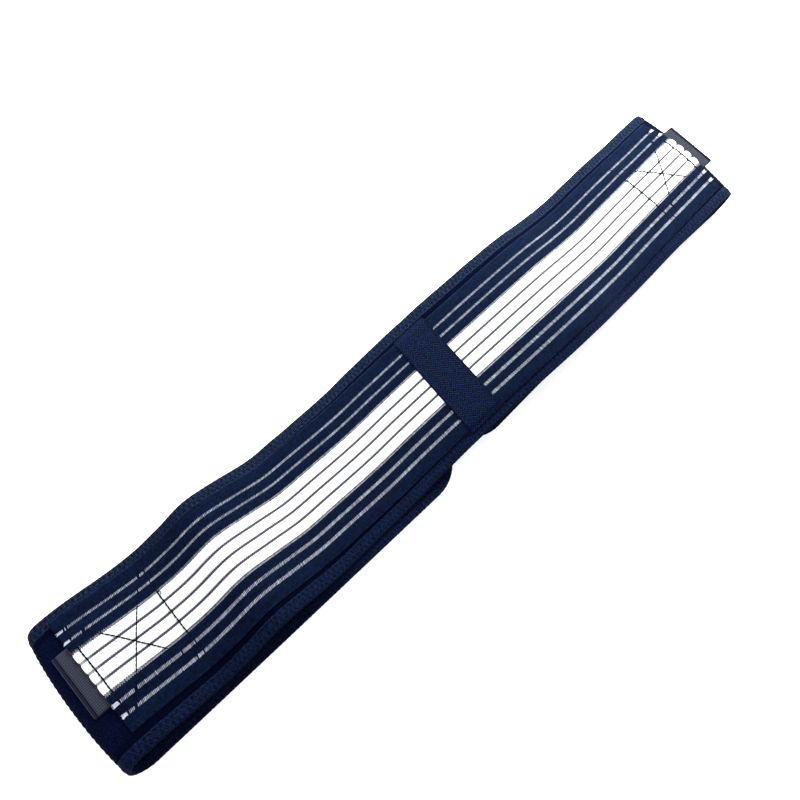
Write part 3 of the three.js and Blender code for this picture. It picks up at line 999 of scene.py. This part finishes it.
def make_strap(name, strap, material):
    """A ribbed strap from under the keeper to its scalloped cut end."""
    across = strap_columns()
    inner = KEEPER_CENTRE + STRAP_GAP * strap.side
    count = round(abs(strap.end - inner) / STRAP_STEP)
    along = np.linspace(inner, strap.end, count + 1)[:, None]
    from_end = np.abs(strap.end - along)
    in_white = 1 - smooth(np.abs(across), WHITE_HALF, WHITE_HALF + 1)
    rounded = np.abs(np.sin(math.pi * across / STRIPE_PITCH)) ** SCALLOP_ROUND
    at_cut = 1 - smooth(from_end, 0.0, SCALLOP_LENGTH)
    scallop = strap.scallop * (NAVY_SCALLOP + in_white) * rounded * at_cut
    run = along + strap.side * scallop
    top = strap_place(strap, run, across, strap_profile(across))
    bottom = strap_place(strap, run, across, 0.0)
    return make_strip(name, strap, top, bottom, (across, along, from_end), material)


def make_stripe_yarns(name, strap, seed, material):
    """Short slanting floats side by side along each grey stripe, lighter and looser at the cut end."""
    chance = np.random.default_rng(seed)
    to_keeper = abs(strap.end - KEEPER_CENTRE) - KEEPER_WIDTH / 4
    from_end = np.arange(YARN_PITCH / 2, to_keeper, YARN_PITCH)
    lines = STRIPE_PITCH * np.array(GREY_STRIPES)
    from_end, line = (grid.ravel() for grid in np.meshgrid(from_end, lines))
    jitter = chance.normal(0.0, 1.0, (3, len(line)))
    loose = 1 - smooth(from_end, *LOOSE_YARN_SPAN)
    part = np.linspace(-1.0, 1.0, YARN_STEPS)
    lean = YARN_LEAN * (1 + (YARN_LEAN_SPREAD + loose) * jitter[0])[:, None]
    low = line < 0
    reach = np.where(low, LOW_YARN_REACH, HIGH_YARN_REACH)
    reach = (reach * (1 + YARN_REACH_SPREAD * jitter[1]))[:, None]
    along = strap.end - strap.side * (from_end[:, None] + lean * part)
    across = line[:, None] + reach * part
    above = strap_profile(across) + YARN_ARCH * (1 - part**2)
    path, normal = strap_path(strap, along, across, above)
    tone = np.where(low, LOW_YARN_TONE, HIGH_YARN_TONE)
    light = np.clip(tone + YARN_TONE_SPREAD * jitter[2] + LOOSE_YARN_TONE * loose, 0.0, 1.0)
    floats = (path, normal, light, np.full(len(path), YARN_RADIUS))
    floats = [values[~under_stitches(strap, from_end, line)] for values in floats]
    ends = yarn_ends(strap, lines, chance)
    path, normal, light, radius = (np.concatenate(pair) for pair in zip(floats, ends))
    return make_threads(name, path, normal, radius, material, light)


def under_stitches(strap, from_end, line):
    """Whether a row of stitches pulls a float down out of sight."""
    hidden = np.full(len(line), False)
    for start, end, _ in stitch_lines(strap):
        share = (line - start[1]) / (end[1] - start[1])
        crossing = mix(start[0], end[0], share)
        hidden |= (share > 0) & (share < 1) & (np.abs(from_end - crossing) < YARN_GAP)
    return hidden


def yarn_ends(strap, lines, chance):
    """A brush of yarn ends where each grey stripe is cut: paths, normals, lightness and radii."""
    places = np.meshgrid(np.linspace(-1, 1, YARN_END_COUNT), lines)
    spread, line = (grid.ravel()[:, None] for grid in places)
    jitter = chance.normal(0.0, 1.0, (3, len(line), 1))
    part = np.linspace(0.0, 1.0, YARN_STEPS)
    over = YARN_END_OVER + YARN_END_OVER_SPREAD * jitter[0]
    along = strap.end - strap.side * (YARN_END_LENGTH - (YARN_END_LENGTH + over) * part)
    fan = YARN_END_START + YARN_END_FAN * part**2
    across = line + YARN_END_REACH * (spread + YARN_END_SPREAD * jitter[1]) * fan
    above = strap_profile(across) + YARN_END_LIFT * np.sin(math.pi * (0.15 + 0.7 * part))
    path, normal = strap_path(strap, along, across, above)
    tone = YARN_END_TONE + YARN_END_TONE_SPREAD * jitter[2].ravel()
    light = np.clip(tone, YARN_END_DARKEST, 1.0)
    return path, normal, light, np.full(len(path), YARN_END_RADIUS)


def stitch_row(strap, start, end, thickness):
    """Stitches on a strap between two places, each as its distance from the cut end and across."""
    start, end = np.array(start), np.array(end)
    count = max(1, round(np.linalg.norm(end - start) / STITCH_LENGTH))
    step = np.linspace(0.0, 1.0, STITCH_STEPS)
    part = (np.arange(count)[:, None] + step) / count
    line = start + (end - start) * part[..., None]
    arch = STITCH_ARCH * np.sin(math.pi * step) - STITCH_BITE
    return lay_threads(strap, line, arch, thickness)


def loose_loop(strap):
    """A thread end that curls off the far row of stitches beside the white band."""
    start = np.arange(LOOP_PARTS)[:, None]
    turn = LOOP_TURN * (start + np.linspace(0.0, 1.0, STITCH_STEPS)) / LOOP_PARTS
    radius = LOOP_RADIUS * (1 + LOOP_GROWTH * turn / LOOP_TURN)
    from_end = strap.far + LOOP_RADIUS - radius * np.cos(turn)
    across = WHITE_HALF - 2 * LOOP_RADIUS + radius * np.sin(turn)
    line = np.stack([from_end, across], axis=-1)
    return lay_threads(strap, line, LOOP_LIFT, LOOP_SHARE * strap.thread)


def lay_threads(strap, line, lift, thickness):
    """Paths on a strap's face, their normals and radii, from distances to the cut end and across.

    Threads sink into the navy bands, and lie on top of the white one.
    """
    along = strap.end - strap.side * line[..., 0]
    across = line[..., 1]
    sunk = STITCH_SINK * smooth(np.abs(across), WHITE_HALF, WHITE_HALF + STITCH_SINK_FADE)
    path, normal = strap_path(strap, along, across, strap_profile(across) + lift - sunk)
    return path, normal, np.full(len(path), thickness)


def stitch_lines(strap):
    """Start, end and thread of each row: a box's two long sides and the cross between them."""
    near_high, near_low = (strap.near, BOX_HIGH), (strap.near, BOX_LOW)
    far_high, far_low = (strap.far, BOX_HIGH), (strap.far, BOX_LOW)
    cross_low = (strap.near + strap.cross_slip, -CROSS_HALF)
    cross_high = (strap.far - strap.cross_slip, CROSS_HALF)
    thin = CROSS_SHARE * strap.thread
    sides = [(near_high, near_low, strap.thread), (far_high, far_low, strap.thread)]
    return sides + [(near_high, far_low, thin), (cross_low, cross_high, thin)]


def make_strap_stitches(name, strap, material):
    """A stitched box with a cross where the strap's end is sewn to its tab."""
    rows = [stitch_row(strap, *line) for line in stitch_lines(strap)]
    if strap.side < 0:
        rows.append(loose_loop(strap))
    paths, normals, radii = (np.concatenate(parts) for parts in zip(*rows))
    return make_threads(name, paths, normals, radii, material)


# Keeper and tabs

def make_keeper(material):
    """Tape across both straps, with a welt along each edge. Its ends come down onto the border."""
    length = np.linspace(KEEPER_LOW, KEEPER_HIGH, KEEPER_ROWS)[:, None]
    width = np.linspace(-HALF_KEEPER, HALF_KEEPER, KEEPER_COLUMNS)
    from_end = np.minimum(length - KEEPER_LOW, KEEPER_HIGH - length)
    lift = mix(KEEPER_END_LIFT, KEEPER_LIFT, smooth(from_end, *KEEPER_RAMP))
    from_edge = HALF_KEEPER - np.abs(width)
    welt = KEEPER_WELT * hump(from_edge, KEEPER_WELT_INSET, KEEPER_WELT_SPREAD)
    selvage = welt - KEEPER_EDGE_DROP * (1 - smooth(from_edge, 0.0, KEEPER_EDGE))
    frames = upper_frames(KEEPER_CENTRE + width + KEEPER_SLANT * length)
    top = place(frames, length, lift + KEEPER_THICKNESS + selvage)
    bottom = place(frames, length, lift)
    cloth = np.stack(np.broadcast_arrays(width, length, 0.0), axis=-1)
    # The rows of this grid run across the belt, so the underside comes first for its faces to point out
    return make_sheet("keeper_twill", bottom, top, cloth, material)


def make_tab(name, strap, material):
    """A ribbed tab from under its strap to its hemmed outer end."""
    count = round(abs(strap.tab_outer - strap.tab_inner) / TAB_STEP)
    along = np.linspace(strap.tab_inner, strap.tab_outer, count + 1)[:, None]
    across = np.linspace(-HALF_TAB, HALF_TAB, TAB_COLUMNS)
    from_outer = np.abs(strap.tab_outer - along)
    rib = np.abs(np.cos(math.pi * from_outer / TAB_RIB_PITCH))
    hem = 1 - TAB_HEM_DEPTH * hump(from_outer, TAB_HEM_INSET, TAB_HEM_SPREAD)
    selvage = thinned(across, HALF_TAB, TAB_SELVAGE, TAB_SELVAGE_DROP)
    height = (TAB_THICKNESS + TAB_RIB_HEIGHT * rib) * hem * selvage
    belt_across = strap.tab_aside + across
    frames = upper_frames(along - bowed(along, belt_across))
    top = place(frames, belt_across, STRAP_LIFT + height)
    bottom = place(frames, belt_across, STRAP_LIFT)
    return make_strip(name, strap, top, bottom, (from_outer, across, rib), material)


# Pieces

pile = pile_material()
tape = binding_material()
elastic = strap_material()
twill = keeper_material()
# Lit and shaded copies of the tab webbing, as painted light and painted shade
left_webbing_painted_lit = tab_material("left tab webbing painted lit", LEFT_TAB_PAINTED_LIT)
right_webbing_painted_shade = tab_material("right tab webbing painted shade", RIGHT_TAB_PAINTED_SHADE)
thread = thread_material("stitch thread", THREAD_BLACK)
border_thread = thread_material("border thread", BINDING_THREAD)
yarn = yarn_material()

panel = make_panel(pile)
binding = make_binding(tape)
border_stitches = make_border_stitches(border_thread)
left_strap = make_strap("striped_strap_left", LEFT_STRAP, elastic)
right_strap = make_strap("striped_strap_right", RIGHT_STRAP, elastic)
left_yarns = make_stripe_yarns("stripe_yarns_left", LEFT_STRAP, LEFT_YARN_SEED, yarn)
right_yarns = make_stripe_yarns("stripe_yarns_right", RIGHT_STRAP, RIGHT_YARN_SEED, yarn)
left_stitches = make_strap_stitches("strap_stitches_left", LEFT_STRAP, thread)
right_stitches = make_strap_stitches("strap_stitches_right", RIGHT_STRAP, thread)
keeper = make_keeper(twill)
left_tab = make_tab("ribbed_tab_left", LEFT_STRAP, left_webbing_painted_lit)
right_tab = make_tab("ribbed_tab_right", RIGHT_STRAP, right_webbing_painted_shade)

# Columns: piece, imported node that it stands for, material slot
PIECES = (
    (panel, "main_belt", "belt_fabric"),
    (binding, "edge_binding", "binding_tape"),
    (left_strap, "elastic_strap_left", "striped_elastic"),
    (right_strap, "elastic_strap_right", "striped_elastic"),
    (keeper, "center_keeper", "keeper_tape"),
    (left_tab, "end_tab_left", "tab_webbing"),
    (right_tab, "end_tab_right", "tab_webbing"),
)
for piece, node, slot in PIECES:
    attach(piece, "root")
    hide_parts(node)
for piece in (border_stitches, left_yarns, right_yarns, left_stitches, right_stitches):
    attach(piece, "root")

BORDER_LENGTH = ring_lengths()[-1]

# Floor, light and camera

FLOOR_SIZE = 60.0
WORLD_LIGHT = 1.0
# Columns: name, place in metres, place that it faces, size in metres, power in watts, colour
LAMPS = (
    ("key_light", (0.20, 0.28, 0.32), (0.15, 0.0, 0.0), 0.3, 6.2, (0.82, 1.0, 0.78)),
    ("soft_light", (-0.25, 0.45, 0.25), (-0.15, 0.0, 0.0), 0.3, 2.2, (0.80, 0.88, 1.0)),
    ("end_light", (0.45, 0.05, 0.25), (0.28, 0.0, 0.0), 0.2, 3.2, (1.0, 1.0, 0.86)),
)
CAMERA_PLACE = (-0.1188, -0.0920, 0.3886)
CAMERA_TURN = (20.134, 0.0, -42.719)
CAMERA_LENS = 26.04
SENSOR_WIDTH = 36.0
CAMERA_NEAR = 0.01


def make_floor():
    half = FLOOR_SIZE / 2
    mesh = bpy.data.meshes.new("floor")
    corners = [(-half, -half, 0), (half, -half, 0), (half, half, 0), (-half, half, 0)]
    mesh.from_pydata(corners, [], [(0, 1, 2, 3)])
    mesh.materials.append(floor_material())
    return add_object("floor", mesh)


def make_lamp(name, spot, faces, size, power, colour):
    """A round lamp turned to the place that it faces."""
    lamp = bpy.data.lights.new(name, "AREA")
    lamp.shape = "DISK"
    lamp.size = size
    lamp.energy = power
    lamp.color = colour
    made = add_object(name, lamp)
    made.visible_camera = False
    made.location = spot
    away = np.array(spot) - np.array(faces)
    tilt = math.atan2(math.hypot(away[0], away[1]), away[2])
    heading = math.atan2(away[0], -away[1])
    made.rotation_euler = (tilt, 0, heading)
    return made


def make_camera():
    lens = bpy.data.cameras.new("photo_camera")
    lens.sensor_width = SENSOR_WIDTH
    lens.lens = CAMERA_LENS
    lens.clip_start = CAMERA_NEAR
    made = add_object("photo_camera", lens)
    made.location = CAMERA_PLACE
    made.rotation_euler = [math.radians(turn) for turn in CAMERA_TURN]
    bpy.context.scene.camera = made
    return made


def light_world():
    world = bpy.data.worlds.new("studio")
    world.use_nodes = True
    backdrop = world.node_tree.nodes["Background"]
    backdrop.inputs["Color"].default_value = PLAIN_WHITE
    backdrop.inputs["Strength"].default_value = WORLD_LIGHT
    bpy.context.scene.world = world


make_floor()
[make_lamp(*row) for row in LAMPS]
make_camera()
light_world()
bpy.context.scene.view_settings.view_transform = "Standard"
